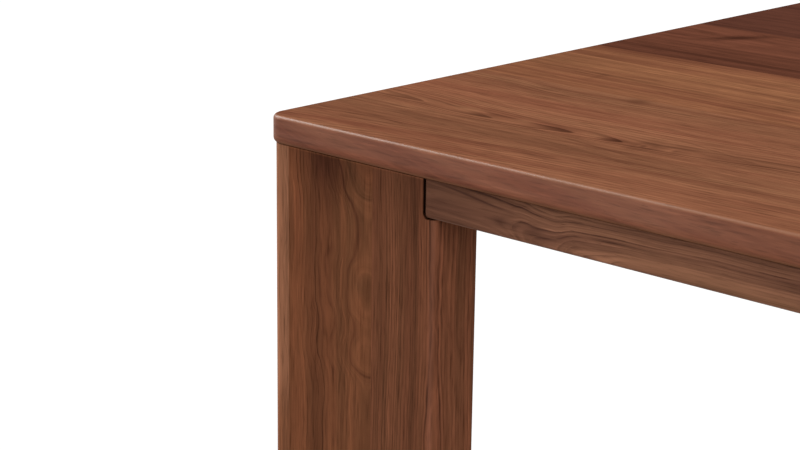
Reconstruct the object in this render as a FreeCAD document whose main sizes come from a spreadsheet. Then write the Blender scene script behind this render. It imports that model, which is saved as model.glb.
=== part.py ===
import FreeCAD
import Part
import Sketcher
import os

# A solid walnut dining table: a glued-up top on four wide board legs, with rails let into the legs,
# cross battens, steel leg brackets and levelling feet. Millimetres, +Z up, origin on the floor at the centre.

# Driving sizes
SIZES = {
    # the whole table
    "tableLength": 1800,
    "tableWidth": 1000,
    "tableHeight": 750,
    # the top
    "topThick": 25,
    "topCorner": 17.5,
    "upperArris": 3.8,
    "lowerArris": 4.8,
    # shares of the table's width: the staves' widths and the screw rows from the middle
    "frontStaveShare": 0.28,
    "innerStaveShare": 0.185,
    "innerScrewShare": 0.1,
    "middleScrewShare": 0.28,
    "outerScrewShare": 0.38,
    # the legs
    "legSetback": 2.5,
    "legWidth": 190,
    "legDepth": 59,
    "outerBoardWidth": 122.5,
    "legInnerCorner": 8,
    "legFootArris": 2,
    # the rails and the pockets that take their ends
    "railHeight": 32.5,
    "railThick": 25,
    "railInset": 1,
    "railLetIn": 11,
    "railEndGap": 1.2,
    "railUnderGap": 1,
    "railBackGap": 1,
    "railEndCorner": 3.5,
    "railArris": 2.5,
    "railScrewEnd": 110,
    "railSeatDepth": 12.5,
    "pocketCorner": 5,
    # the cross battens
    "battenWidth": 70,
    "battenThick": 24,
    "battenSpacing": 450,
    "battenEndGap": 4,
    "battenArris": 6,
    "battenSeatDepth": 4,
    # the wood screws
    "screwRadius": 2.5,
    "screwHeadRadius": 5,
    "screwHeadHeight": 3,
    "screwHoleRadius": 3.5,
    "screwSeatRadius": 6,
    "screwTip": 5,
    "screwCover": 7,
    "screwSocketRadius": 2,
    "screwSocketDepth": 1.8,
    # the dowels
    "dowelRadius": 5,
    "dowelHalf": 30,
    "dowelEndGap": 1,
    "staveDowelEnd": 250,
    "legDowelLow": 120,
    "legDowelHigh": 150,
    # the leg brackets
    "bracketSteel": 5,
    "bracketDrop": 95,
    "bracketReach": 75,
    "bracketGap": 4,
    "bracketBend": 4,
    "bracketCorner": 10,
    "boltEdge": 20,
    "nearRow": 25,
    "farRow": 52,
    "lowerRow": 72,
    "upperRow": 35,
    "slotTravel": 3,
    # the bolts, washers and inserts of the brackets
    "boltRadius": 4,
    "boltLength": 20,
    "boltHeadRadius": 7,
    "boltHeadHeight": 4.4,
    "boltHeadRound": 2.5,
    "boltHoleRadius": 4.5,
    "boltSocketRadius": 2.9,
    "boltSocketDepth": 2.6,
    "washerRadius": 10,
    "washerThick": 1.6,
    "insertRadius": 6,
    "insertLength": 15,
    "insertHoleEnd": 2,
    # the levelling feet
    "studRadius": 4,
    "studLength": 50,
    "studChamfer": 1.2,
    "studHoleGap": 1,
    "studHoleEnd": 5,
    "studPinRadius": 3.5,
    "studPinLength": 4,
    "collarRadius": 7.5,
    "collarHeight": 5,
    "padRadius": 20,
    "padShoulderRadius": 11,
    "padRim": 4,
    "padHeight": 8,
    "padRound": 1.2,
    "soleRadius": 17,
    "soleThick": 2,
    "soleProud": 1,
    "footInsertRadius": 6.5,
    "footInsertLength": 25,
    "footFlangeRadius": 12,
    "footFlangeThick": 2,
    # running fit of round pieces in their holes, and how far a cut runs past a face
    "fit": 0.05,
    "cutSpare": 5,
}

# Edges closer than this to a plane lie on it
ON_PLANE = 0.01

doc = FreeCAD.newDocument("dining_table")
sheet = doc.addObject("Spreadsheet::Sheet", "Sizes")
for row, (alias, value) in enumerate(SIZES.items(), start=1):
    sheet.set(f"A{row}", alias)
    sheet.set(f"B{row}", str(value))
    sheet.setAlias(f"B{row}", alias)
doc.recompute()

# Worked-out places and lengths, as formulas on the sheet
LEFT_END = "(-Sizes.tableLength / 2)"
FRONT_EDGE = "(-Sizes.tableWidth / 2)"
UNDERSIDE = "(Sizes.tableHeight - Sizes.topThick)"
FOOT_HEIGHT = "(Sizes.soleProud + Sizes.padHeight + Sizes.collarHeight)"
FRONT_STAVE = "(Sizes.tableWidth * Sizes.frontStaveShare)"
INNER_STAVE = "(Sizes.tableWidth * Sizes.innerStaveShare)"
STAVE_JOINTS = [f"({FRONT_EDGE} + {FRONT_STAVE} + {count} * {INNER_STAVE})" for count in range(4)]
BACK_STAVE = f"(Sizes.tableWidth - {FRONT_STAVE} - 3 * {INNER_STAVE})"
LEG_HEIGHT = f"({UNDERSIDE} - {FOOT_HEIGHT})"
LEG_OUTER = f"({LEFT_END} + Sizes.legSetback)"
LEG_INNER = f"({LEG_OUTER} + Sizes.legWidth)"
LEG_FRONT = f"({FRONT_EDGE} + Sizes.legSetback)"
LEG_BACK = f"({LEG_FRONT} + Sizes.legDepth)"
LEG_MIDDLE_X = f"({LEG_OUTER} + Sizes.legWidth / 2)"
LEG_MIDDLE_Y = f"({LEG_FRONT} + Sizes.legDepth / 2)"
GLUE_LINE = f"({LEG_OUTER} + Sizes.outerBoardWidth)"
RAIL_BOTTOM = f"({UNDERSIDE} - Sizes.railHeight)"
POCKET_BOTTOM = f"({RAIL_BOTTOM} - Sizes.railUnderGap)"
POCKET_DEPTH = "(Sizes.railInset + Sizes.railThick + Sizes.railBackGap)"
BRACKET_MARGIN = "(Sizes.railInset + Sizes.railThick + Sizes.bracketGap)"
BRACKET_LENGTH = f"(Sizes.legWidth - 2 * {BRACKET_MARGIN})"
BOLT_OFFSET = f"({BRACKET_LENGTH} / 2 - Sizes.boltEdge)"
SCREW_BITE = "(Sizes.topThick - Sizes.screwCover)"

# Ways a round piece points from its seat
UP = FreeCAD.Rotation()
FORWARD = FreeCAD.Rotation(FreeCAD.Vector(1, 0, 0), 90)
BACKWARD = FreeCAD.Rotation(FreeCAD.Vector(1, 0, 0), -90)
RIGHT = FreeCAD.Rotation(FreeCAD.Vector(0, 1, 0), 90)

ACROSS_LENGTH = FreeCAD.Vector(1, 0, 0)
ACROSS_WIDTH = FreeCAD.Vector(0, 1, 0)
CORNERS = ("front_left", "front_right", "back_left", "back_right")

subparts = []


def evaluate(formula):
    return sheet.evalExpression(formula)


def bind(item, formulas):
    for path, formula in formulas.items():
        item.setExpression(path, formula)


def place(item, spot, turn=UP):
    item.Placement = FreeCAD.Placement(FreeCAD.Vector(), turn)
    for axis, formula in zip("xyz", spot):
        item.setExpression(f"Placement.Base.{axis}", formula)


def keep(item, label):
    item.Label = label
    subparts.append(item)
    return item


# Sketches and solids

def pin(sketch, corner, kind, formula, axis):
    if formula == "0":
        sketch.addConstraint(Sketcher.Constraint("PointOnObject", corner, 1, axis))
        return
    held = Sketcher.Constraint(kind, -1, 1, corner, 1, evaluate(formula))
    name = f"{kind}{corner}"
    sketch.renameConstraint(sketch.addConstraint(held), name)
    sketch.setExpression(f"Constraints.{name}", formula)


def outline(body, role, corners):
    sketch = body.newObject("Sketcher::SketchObject", body.Name + "_outline")
    plane = next(item for item in body.Origin.OriginFeatures if item.Role == role)
    sketch.AttachmentSupport = [(plane, "")]
    sketch.MapMode = "FlatFace"
    spots = [FreeCAD.Vector(evaluate(x), evaluate(y), 0) for x, y in corners]
    count = len(spots)
    for index in range(count):
        sketch.addGeometry(Part.LineSegment(spots[index], spots[(index + 1) % count]))
    for index in range(count):
        sketch.addConstraint(Sketcher.Constraint("Coincident", index, 2, (index + 1) % count, 1))
    for index, (x, y) in enumerate(corners):
        pin(sketch, index, "DistanceX", x, -2)
        pin(sketch, index, "DistanceY", y, -1)
    return sketch


def extruded(name, role, corners, length):
    body = doc.addObject("PartDesign::Body", name)
    pad = body.newObject("PartDesign::Pad", name + "_pad")
    pad.Profile = outline(body, role, corners)
    bind(pad, {"Length": length})
    body.Tip = pad
    doc.recompute()
    return body


def block(name, size, spot):
    along, across, up = size
    corners = [("0", "0"), (along, "0"), (along, across), ("0", across)]
    body = extruded(name, "XY_Plane", corners, up)
    place(body, spot)
    return body


def turned(name, profile):
    body = doc.addObject("PartDesign::Body", name)
    sketch = outline(body, "XZ_Plane", profile)
    turn = body.newObject("PartDesign::Revolution", name + "_turned")
    turn.Profile = sketch
    turn.ReferenceAxis = (sketch, ["V_Axis"])
    turn.Angle = 360
    body.Tip = turn
    doc.recompute()
    return body


def on_plane(edge, axis, value):
    box = edge.BoundBox
    low = getattr(box, axis + "Min")
    high = getattr(box, axis + "Max")
    return abs(low - value) < ON_PLANE and abs(high - value) < ON_PLANE


def round_edges(body, radius, chosen):
    base = body.Tip
    box = base.Shape.BoundBox
    names = [f"Edge{n}" for n, edge in enumerate(base.Shape.Edges, start=1) if chosen(edge, box)]
    fillet = body.newObject("PartDesign::Fillet", body.Name + "_round")
    fillet.Base = (base, names)
    bind(fillet, {"Radius": radius})
    body.Tip = fillet
    doc.recompute()


def bore(name, radius, depth, spot, turn=UP):
    hole = doc.addObject("Part::Cylinder", name)
    bind(hole, {"Radius": radius, "Height": depth})
    place(hole, spot, turn)
    return hole


def prism(name, radius, height, spot):
    hexagon = doc.addObject("Part::Prism", name)
    hexagon.Polygon = 6
    bind(hexagon, {"Circumradius": radius, "Height": height})
    place(hexagon, spot)
    return hexagon


def cut(name, base, tool):
    result = doc.addObject("Part::Cut", name)
    result.Base = base
    result.Tool = tool
    return result


def fuse(name, base, tool):
    result = doc.addObject("Part::Fuse", name)
    result.Base = base
    result.Tool = tool
    return result


def together(name, items):
    group = doc.addObject("Part::Compound", name)
    group.Links = items
    return group


def mirror(name, source, normal):
    copy = doc.addObject("Part::Mirroring", name)
    copy.Source = source
    copy.Normal = normal
    return copy


def four_corners(name, source):
    right = mirror(name + "_right", source, ACROSS_LENGTH)
    back = mirror(name + "_back", source, ACROSS_WIDTH)
    back_right = mirror(name + "_back_right", right, ACROSS_WIDTH)
    return [source, right, back, back_right]


def keep_corners(name, source, label):
    for corner, piece in zip(CORNERS, four_corners(name, source)):
        keep(piece, label.format(corner=corner))


def copies(name, master, spots, turn=UP):
    links = []
    for index, spot in enumerate(spots, start=1):
        link = doc.addObject("App::Link", f"{name}_{index}")
        link.LinkedObject = master
        link.LinkTransform = False
        place(link, spot, turn)
        links.append(link)
    return together(name, links)


def bores(name, radius, depth, spots, turn=UP):
    return [bore(f"{name}_{index}", radius, depth, spot, turn)
            for index, spot in enumerate(spots, start=1)]


# Where the fasteners of the front left corner sit

def shifted(spots, axis, step):
    moved = []
    for spot in spots:
        parts = list(spot)
        parts[axis] = f"({parts[axis]} + {step})"
        moved.append(tuple(parts))
    return moved


bolt_columns = [f"({LEG_MIDDLE_X} - {BOLT_OFFSET})", f"({LEG_MIDDLE_X} + {BOLT_OFFSET})"]
top_bolt_rows = [f"({LEG_BACK} + Sizes.{row})" for row in ("nearRow", "farRow")]
leg_bolt_rows = [f"({UNDERSIDE} - Sizes.{row})" for row in ("upperRow", "lowerRow")]
top_bolt_spots = [(x, y, UNDERSIDE) for x in bolt_columns for y in top_bolt_rows]
leg_bolt_spots = [(x, LEG_BACK, z) for x in bolt_columns for z in leg_bolt_rows]

screw_shares = ("innerScrewShare", "middleScrewShare", "outerScrewShare")
screw_rows = [f"(-Sizes.tableWidth * Sizes.{share})" for share in screw_shares]
long_rail_reach = f"(-{LEG_INNER} + Sizes.railLetIn - Sizes.railScrewEnd)"
long_rail_y = f"({LEG_FRONT} + Sizes.railInset + Sizes.railThick / 2)"
end_rail_x = f"({LEG_OUTER} + Sizes.railInset + Sizes.railThick / 2)"
long_rail_columns = [f"(-{long_rail_reach})", f"(-{long_rail_reach} / 3)"]
long_rail_spots = [(x, long_rail_y, UNDERSIDE) for x in long_rail_columns]
end_rail_spots = [(end_rail_x, y, UNDERSIDE) for y in screw_rows]
side_batten_spots = [("(-Sizes.battenSpacing)", y, UNDERSIDE) for y in screw_rows]
middle_batten_spots = [("0", y, UNDERSIDE) for y in screw_rows]

dowel_height = "(Sizes.tableHeight - Sizes.topThick / 2)"
dowel_reach = f"({LEFT_END} + Sizes.staveDowelEnd)"
dowel_columns = [dowel_reach, f"({dowel_reach} / 3)"]
stave_dowel_spots = [(x, f"({joint} - Sizes.dowelHalf)", dowel_height)
                     for joint in STAVE_JOINTS for x in dowel_columns]
low_dowel = f"({FOOT_HEIGHT} + Sizes.legDowelLow)"
high_dowel = f"({UNDERSIDE} - Sizes.legDowelHigh)"
leg_dowel_rows = [low_dowel, f"(({low_dowel} + {high_dowel}) / 2)", high_dowel]
leg_dowel_spots = [(f"({GLUE_LINE} - Sizes.dowelHalf)", LEG_MIDDLE_Y, z) for z in leg_dowel_rows]


# One of each fastener

def make_bolt():
    length = "(Sizes.boltHeadHeight + Sizes.boltLength)"
    shank = "(Sizes.boltRadius - Sizes.fit)"
    body = turned("bolt_body", [
        ("0", "0"),
        ("Sizes.boltHeadRadius", "0"),
        ("Sizes.boltHeadRadius", "Sizes.boltHeadHeight"),
        (shank, "Sizes.boltHeadHeight"),
        (shank, length),
        ("0", length),
    ])
    head = evaluate("Sizes.boltHeadRadius")
    round_edges(body, "Sizes.boltHeadRound",
                lambda edge, box: on_plane(edge, "Z", box.ZMin) and edge.BoundBox.XMax > head - ON_PLANE)
    socket = prism("bolt_socket", "Sizes.boltSocketRadius", "Sizes.boltSocketDepth", ("0", "0", "0"))
    return cut("bolt", body, socket)


def make_screw(name, grip):
    bite_end = f"(Sizes.screwHeadHeight + {grip} + {SCREW_BITE})"
    shank = "(Sizes.screwRadius - Sizes.fit)"
    body = turned(name + "_body", [
        ("0", "0"),
        ("Sizes.screwHeadRadius", "0"),
        ("Sizes.screwHeadRadius", "Sizes.screwHeadHeight"),
        (shank, "Sizes.screwHeadHeight"),
        (shank, f"({bite_end} - Sizes.screwTip)"),
        ("0", bite_end),
    ])
    socket = prism(name + "_socket", "Sizes.screwSocketRadius", "Sizes.screwSocketDepth", ("0", "0", "0"))
    return cut(name, body, socket)


def make_ring(name, inside, outside, height):
    return turned(name, [(inside, "0"), (outside, "0"), (outside, height), (inside, height)])


def make_dowel():
    return turned("dowel", [
        ("0", "0"),
        ("(Sizes.dowelRadius - Sizes.fit)", "0"),
        ("(Sizes.dowelRadius - Sizes.fit)", "(2 * Sizes.dowelHalf)"),
        ("0", "(2 * Sizes.dowelHalf)"),
    ])


bolt = make_bolt()
washer = make_ring("washer", "Sizes.boltHoleRadius", "Sizes.washerRadius", "Sizes.washerThick")
insert = make_ring("insert", "Sizes.boltRadius", "(Sizes.insertRadius - Sizes.fit)", "Sizes.insertLength")
rail_grip = "(Sizes.railHeight - Sizes.railSeatDepth)"
batten_grip = "(Sizes.battenThick - Sizes.battenSeatDepth)"
rail_screw = make_screw("rail_screw", rail_grip)
batten_screw = make_screw("batten_screw", batten_grip)
dowel = make_dowel()

# Holes in the top, for every corner

insert_hole = "(Sizes.insertLength + Sizes.insertHoleEnd)"
dowel_hole = "(2 * Sizes.dowelHalf + 2 * Sizes.dowelEndGap)"
corner_holes = bores("top_insert_hole", "Sizes.insertRadius", insert_hole, top_bolt_spots)
corner_holes += bores("top_screw_hole", "Sizes.screwRadius", SCREW_BITE,
                      long_rail_spots + end_rail_spots + side_batten_spots)
middle_holes = together("middle_holes", bores("middle_screw_hole", "Sizes.screwRadius", SCREW_BITE,
                                              middle_batten_spots))
dowel_starts = shifted(stave_dowel_spots, 1, "-Sizes.dowelEndGap")
joint_holes = together("joint_holes", bores("joint_hole", "Sizes.dowelRadius", dowel_hole,
                                            dowel_starts, BACKWARD))
top_holes = together("top_holes", four_corners("corner_holes", together("corner_holes", corner_holes)) + [
    middle_holes,
    mirror("middle_holes_back", middle_holes, ACROSS_WIDTH),
    joint_holes,
    mirror("joint_holes_right", joint_holes, ACROSS_LENGTH),
])


# The top: five staves, rounded on every edge but the glued ones

def rim(level, glued):
    def chosen(edge, box):
        if not on_plane(edge, "Z", getattr(box, level)):
            return False
        return not any(on_plane(edge, "Y", getattr(box, side)) for side in glued)
    return chosen


def make_stave(name, width, front, glued):
    stave = block(name, ("Sizes.tableLength", width, "Sizes.topThick"), (LEFT_END, front, UNDERSIDE))
    for side in ("YMin", "YMax"):
        if side not in glued:
            round_edges(stave, "Sizes.topCorner",
                        lambda edge, box: on_plane(edge, "Y", getattr(box, side))
                        and (on_plane(edge, "X", box.XMin) or on_plane(edge, "X", box.XMax)))
    round_edges(stave, "Sizes.upperArris", rim("ZMax", glued))
    round_edges(stave, "Sizes.lowerArris", rim("ZMin", glued))
    keep(cut(name + "_drilled", stave, top_holes), "top_" + name)


make_stave("stave_front_outer", FRONT_STAVE, FRONT_EDGE, ("YMax",))
for name, joint in zip(("stave_front_inner", "stave_middle", "stave_back_inner"), STAVE_JOINTS):
    make_stave(name, INNER_STAVE, joint, ("YMin", "YMax"))
make_stave("stave_back_outer", BACK_STAVE, STAVE_JOINTS[-1], ("YMin",))


# The legs: two boards each, with an open pocket for each rail's end and a stepped hole for the foot

def make_pocket(name, size, spot, rounded_axis):
    pocket = block(name, size, spot)
    round_edges(pocket, "Sizes.pocketCorner",
                lambda edge, box: on_plane(edge, "Z", box.ZMin)
                and on_plane(edge, rounded_axis, getattr(box, rounded_axis + "Min")))
    return pocket


pocket_reach = "(Sizes.railLetIn + Sizes.railEndGap)"
pocket_height = f"({UNDERSIDE} - {POCKET_BOTTOM} + Sizes.cutSpare)"
long_pocket = make_pocket(
    "long_pocket",
    (f"({pocket_reach} + Sizes.cutSpare)", f"({POCKET_DEPTH} + Sizes.cutSpare)", pocket_height),
    (f"({LEG_INNER} - {pocket_reach})", f"({LEG_FRONT} - Sizes.cutSpare)", POCKET_BOTTOM), "X")
end_pocket = make_pocket(
    "end_pocket",
    (f"({POCKET_DEPTH} + Sizes.cutSpare)", f"({pocket_reach} + Sizes.cutSpare)", pocket_height),
    (f"({LEG_OUTER} - Sizes.cutSpare)", f"({LEG_BACK} - {pocket_reach})", POCKET_BOTTOM), "Y")
foot_spot = (LEG_MIDDLE_X, LEG_MIDDLE_Y, FOOT_HEIGHT)
leg_holes = [long_pocket, end_pocket]
leg_holes += bores("leg_insert_hole", "Sizes.insertRadius", insert_hole, leg_bolt_spots, FORWARD)
leg_holes += bores("leg_dowel_hole", "Sizes.dowelRadius", dowel_hole,
                   shifted(leg_dowel_spots, 0, "-Sizes.dowelEndGap"), RIGHT)
leg_holes += [
    bore("foot_flange_hole", "Sizes.footFlangeRadius", "Sizes.footFlangeThick", foot_spot),
    bore("foot_insert_hole", "Sizes.footInsertRadius", "Sizes.footInsertLength", foot_spot),
    bore("foot_stud_hole", "(Sizes.studRadius + Sizes.studHoleGap)", "(Sizes.studLength + Sizes.studHoleEnd)",
         foot_spot),
]
leg_cuts = together("leg_cuts", leg_holes)


def make_leg_board(name, width, left, outer_side, front_radius):
    board = block(name, (width, "Sizes.legDepth", LEG_HEIGHT), (left, LEG_FRONT, FOOT_HEIGHT))
    glued_side = "XMin" if outer_side == "XMax" else "XMax"
    for side, radius in (("YMin", front_radius), ("YMax", "Sizes.legInnerCorner")):
        round_edges(board, radius, lambda edge, box: on_plane(edge, "X", getattr(box, outer_side))
                    and on_plane(edge, "Y", getattr(box, side)))
    round_edges(board, "Sizes.legFootArris", lambda edge, box: on_plane(edge, "Z", box.ZMin)
                and not on_plane(edge, "X", getattr(box, glued_side)))
    return cut(name + "_cut", board, leg_cuts)


outer_board = make_leg_board("outer_board", "Sizes.outerBoardWidth", LEG_OUTER, "XMin",
                             "(Sizes.topCorner - Sizes.legSetback)")
inner_board = make_leg_board("inner_board", "(Sizes.legWidth - Sizes.outerBoardWidth)", GLUE_LINE, "XMax",
                             "Sizes.legInnerCorner")
keep_corners("outer_board", outer_board, "leg_{corner}_outer_board")
keep_corners("inner_board", inner_board, "leg_{corner}_inner_board")


# The rails: screwed up under the top, their ends loose in the legs' pockets

def make_rail(name, size, spot, long_axis, screw_spots):
    rail = block(name, size, spot)
    round_edges(rail, "Sizes.railEndCorner",
                lambda edge, box: on_plane(edge, "Z", box.ZMin)
                and (on_plane(edge, long_axis, getattr(box, long_axis + "Min"))
                     or on_plane(edge, long_axis, getattr(box, long_axis + "Max"))))
    side_axis = "Y" if long_axis == "X" else "X"
    round_edges(rail, "Sizes.railArris",
                lambda edge, box: on_plane(edge, "Z", box.ZMin)
                and (on_plane(edge, side_axis, getattr(box, side_axis + "Min"))
                     or on_plane(edge, side_axis, getattr(box, side_axis + "Max"))))
    holes = bores(name + "_hole", "Sizes.screwHoleRadius", "Sizes.railHeight",
                  shifted(screw_spots, 2, "-Sizes.railHeight"))
    holes += bores(name + "_seat", "Sizes.screwSeatRadius", "Sizes.railSeatDepth",
                   shifted(screw_spots, 2, "-Sizes.railHeight"))
    drilled = together(name + "_drill", holes)
    across = ACROSS_LENGTH if long_axis == "X" else ACROSS_WIDTH
    drill = together(name + "_drills", [drilled, mirror(name + "_drill_far", drilled, across)])
    return cut(name + "_drilled", rail, drill)


long_rail = make_rail(
    "long_rail",
    (f"(2 * (Sizes.railLetIn - {LEG_INNER}))", "Sizes.railThick", "Sizes.railHeight"),
    (f"({LEG_INNER} - Sizes.railLetIn)", f"({LEG_FRONT} + Sizes.railInset)", RAIL_BOTTOM),
    "X", long_rail_spots)
end_rail = make_rail(
    "end_rail",
    ("Sizes.railThick", f"(2 * (Sizes.railLetIn - {LEG_BACK}))", "Sizes.railHeight"),
    (f"({LEG_OUTER} + Sizes.railInset)", f"({LEG_BACK} - Sizes.railLetIn)", RAIL_BOTTOM),
    "Y", end_rail_spots)
keep(long_rail, "front_rail")
keep(mirror("long_rail_back", long_rail, ACROSS_WIDTH), "back_rail")
keep(end_rail, "left_end_rail")
keep(mirror("end_rail_right", end_rail, ACROSS_LENGTH), "right_end_rail")


# The cross battens

def make_batten(name, middle, screw_spots):
    front = f"({LEG_FRONT} + Sizes.railInset + Sizes.railThick + Sizes.battenEndGap)"
    batten = block(name, ("Sizes.battenWidth", f"(-2 * {front})", "Sizes.battenThick"),
                   (f"({middle} - Sizes.battenWidth / 2)", front, f"({UNDERSIDE} - Sizes.battenThick)"))
    round_edges(batten, "Sizes.battenArris", lambda edge, box: on_plane(edge, "Z", box.ZMin))
    lowered = shifted(screw_spots, 2, "-Sizes.battenThick")
    holes = bores(name + "_hole", "Sizes.screwHoleRadius", "Sizes.battenThick", lowered)
    holes += bores(name + "_seat", "Sizes.screwSeatRadius", "Sizes.battenSeatDepth", lowered)
    drilled = together(name + "_drill", holes)
    drill = together(name + "_drills", [drilled, mirror(name + "_drill_back", drilled, ACROSS_WIDTH)])
    return cut(name + "_drilled", batten, drill)


side_batten = keep(make_batten("side_batten", "(-Sizes.battenSpacing)", side_batten_spots), "batten_left")
keep(make_batten("middle_batten", "0", middle_batten_spots), "batten_middle")
keep(mirror("side_batten_right", side_batten, ACROSS_LENGTH), "batten_right")


# The leg brackets: steel angles, slotted under the top so that the wood can move

def make_bracket():
    steel = "Sizes.bracketSteel"
    shelf = "(Sizes.bracketDrop - Sizes.bracketSteel)"
    body = extruded("bracket", "YZ_Plane", [
        ("0", "0"),
        (steel, "0"),
        (steel, shelf),
        ("Sizes.bracketReach", shelf),
        ("Sizes.bracketReach", "Sizes.bracketDrop"),
        ("0", "Sizes.bracketDrop"),
    ], BRACKET_LENGTH)
    thickness = evaluate(steel)
    shelf_height = evaluate(shelf)
    place(body, (f"({LEG_MIDDLE_X} - {BRACKET_LENGTH} / 2)", LEG_BACK, f"({UNDERSIDE} - Sizes.bracketDrop)"))
    round_edges(body, "Sizes.bracketBend",
                lambda edge, box: on_plane(edge, "Y", thickness) and on_plane(edge, "Z", shelf_height))
    round_edges(body, "(Sizes.bracketBend + Sizes.bracketSteel)",
                lambda edge, box: on_plane(edge, "Y", box.YMin) and on_plane(edge, "Z", box.ZMax))
    round_edges(body, "Sizes.bracketCorner",
                lambda edge, box: (on_plane(edge, "X", box.XMin) or on_plane(edge, "X", box.XMax))
                and ((on_plane(edge, "Z", box.ZMin) and edge.BoundBox.YLength > ON_PLANE)
                     or (on_plane(edge, "Y", box.YMax) and edge.BoundBox.ZLength > ON_PLANE)))
    leg_hole_spots = shifted(leg_bolt_spots, 1, steel)
    holes = bores("bracket_leg_hole", "Sizes.boltHoleRadius", steel, leg_hole_spots, FORWARD)
    for index, (x, y, z) in enumerate(top_bolt_spots, start=1):
        low = f"({z} - {steel})"
        ends = [(x, f"({y} - Sizes.slotTravel)", low), (x, f"({y} + Sizes.slotTravel)", low)]
        holes += bores(f"bracket_slot_end_{index}", "Sizes.boltHoleRadius", steel, ends)
        slot_size = ("(2 * Sizes.boltHoleRadius)", "(2 * Sizes.slotTravel)", steel)
        slot_spot = (f"({x} - Sizes.boltHoleRadius)", f"({y} - Sizes.slotTravel)", low)
        holes.append(block(f"bracket_slot_{index}", slot_size, slot_spot))
    return cut("bracket_drilled", body, together("bracket_holes", holes))


keep_corners("bracket", make_bracket(), "leg_bracket_{corner}")


# Fastener groups, each a set of separate solids

def keep_group(name, group, label):
    keep(together(name, four_corners(name + "_corner", group)), label)


flange = "Sizes.bracketSteel"
stack = f"({flange} + Sizes.washerThick)"
head_stack = f"({stack} + Sizes.boltHeadHeight)"
top_head_spots = shifted(top_bolt_spots, 2, f"-{head_stack}")
top_washer_spots = shifted(top_bolt_spots, 2, f"-{stack}")
leg_head_spots = shifted(leg_bolt_spots, 1, head_stack)
leg_washer_spots = shifted(leg_bolt_spots, 1, stack)
keep_group("top_bolt_set", copies("top_bolt", bolt, top_head_spots), "top_bolts")
keep_group("top_washer_set", copies("top_washer", washer, top_washer_spots), "top_washers")
keep_group("top_insert_set", copies("top_insert", insert, top_bolt_spots), "top_inserts")
keep_group("leg_bolt_set", copies("leg_bolt", bolt, leg_head_spots, FORWARD), "leg_bolts")
keep_group("leg_washer_set", copies("leg_washer", washer, leg_washer_spots, FORWARD), "leg_washers")
keep_group("leg_insert_set", copies("leg_insert", insert, leg_bolt_spots, FORWARD), "leg_inserts")
keep_group("leg_dowel_set", copies("leg_dowel", dowel, leg_dowel_spots, RIGHT), "leg_dowels")

rail_screw_drop = f"-({rail_grip} + Sizes.screwHeadHeight)"
batten_screw_drop = f"-({batten_grip} + Sizes.screwHeadHeight)"
rail_screw_spots = shifted(long_rail_spots + end_rail_spots, 2, rail_screw_drop)
keep_group("rail_screw_set", copies("rail_screws_corner", rail_screw, rail_screw_spots), "rail_screws")
side_screws = copies("side_batten_screws", batten_screw, shifted(side_batten_spots, 2, batten_screw_drop))
middle_screws = copies("middle_batten_screws", batten_screw,
                       shifted(middle_batten_spots, 2, batten_screw_drop))
keep(together("batten_screw_set", four_corners("side_batten_screws", side_screws) + [
    middle_screws,
    mirror("middle_batten_screws_back", middle_screws, ACROSS_WIDTH),
]), "batten_screws")

left_dowels = copies("left_dowels", dowel, stave_dowel_spots, BACKWARD)
keep(together("stave_dowel_set", [
    left_dowels,
    mirror("right_dowels", left_dowels, ACROSS_LENGTH),
]), "stave_dowels")


# The levelling feet: a flanged insert in the leg, a stud with a hexagon collar, a pad and its sole

def make_foot_insert():
    bore_radius = "Sizes.studRadius"
    flange_radius = "(Sizes.footFlangeRadius - Sizes.fit)"
    barrel = "(Sizes.footInsertRadius - Sizes.fit)"
    return turned("foot_insert", [
        (bore_radius, "0"),
        (flange_radius, "0"),
        (flange_radius, "Sizes.footFlangeThick"),
        (barrel, "Sizes.footFlangeThick"),
        (barrel, "Sizes.footInsertLength"),
        (bore_radius, "Sizes.footInsertLength"),
    ])


def make_stud():
    pin_radius = "(Sizes.studPinRadius - Sizes.fit)"
    thread = "(Sizes.studRadius - Sizes.fit)"
    top = "(Sizes.studPinLength + Sizes.collarHeight + Sizes.studLength)"
    shaft = turned("stud_shaft", [
        ("0", "0"),
        (pin_radius, "0"),
        (pin_radius, "Sizes.studPinLength"),
        (thread, "Sizes.studPinLength"),
        (thread, f"({top} - Sizes.studChamfer)"),
        (f"({thread} - Sizes.studChamfer)", top),
        ("0", top),
    ])
    collar = prism("stud_collar", "Sizes.collarRadius", "Sizes.collarHeight",
                   ("0", "0", "Sizes.studPinLength"))
    return fuse("stud", shaft, collar)


def make_pad():
    recess = "(Sizes.soleThick - Sizes.soleProud)"
    socket_floor = "(Sizes.padHeight - Sizes.studPinLength)"
    pad = turned("pad", [
        ("0", recess),
        ("Sizes.soleRadius", recess),
        ("Sizes.soleRadius", "0"),
        ("Sizes.padRadius", "0"),
        ("Sizes.padRadius", "Sizes.padRim"),
        ("Sizes.padShoulderRadius", "Sizes.padHeight"),
        ("Sizes.studPinRadius", "Sizes.padHeight"),
        ("Sizes.studPinRadius", socket_floor),
        ("0", socket_floor),
    ])
    rim_radius = evaluate("Sizes.padRadius")
    round_edges(pad, "Sizes.padRound",
                lambda edge, box: edge.BoundBox.ZLength < ON_PLANE
                and edge.BoundBox.XMax > rim_radius - ON_PLANE)
    return pad


def make_sole():
    radius = "(Sizes.soleRadius - Sizes.fit)"
    return turned("sole", [("0", "0"), (radius, "0"), (radius, "Sizes.soleThick"), ("0", "Sizes.soleThick")])


def keep_foot_piece(name, master, height):
    place(master, (LEG_MIDDLE_X, LEG_MIDDLE_Y, height))
    keep_corners(name, master, name + "_{corner}")


keep_foot_piece("foot_insert", make_foot_insert(), FOOT_HEIGHT)
keep_foot_piece("foot_stud", make_stud(), "(Sizes.soleProud + Sizes.padHeight - Sizes.studPinLength)")
keep_foot_piece("foot_pad", make_pad(), "Sizes.soleProud")
keep_foot_piece("foot_sole", make_sole(), "0")

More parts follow.
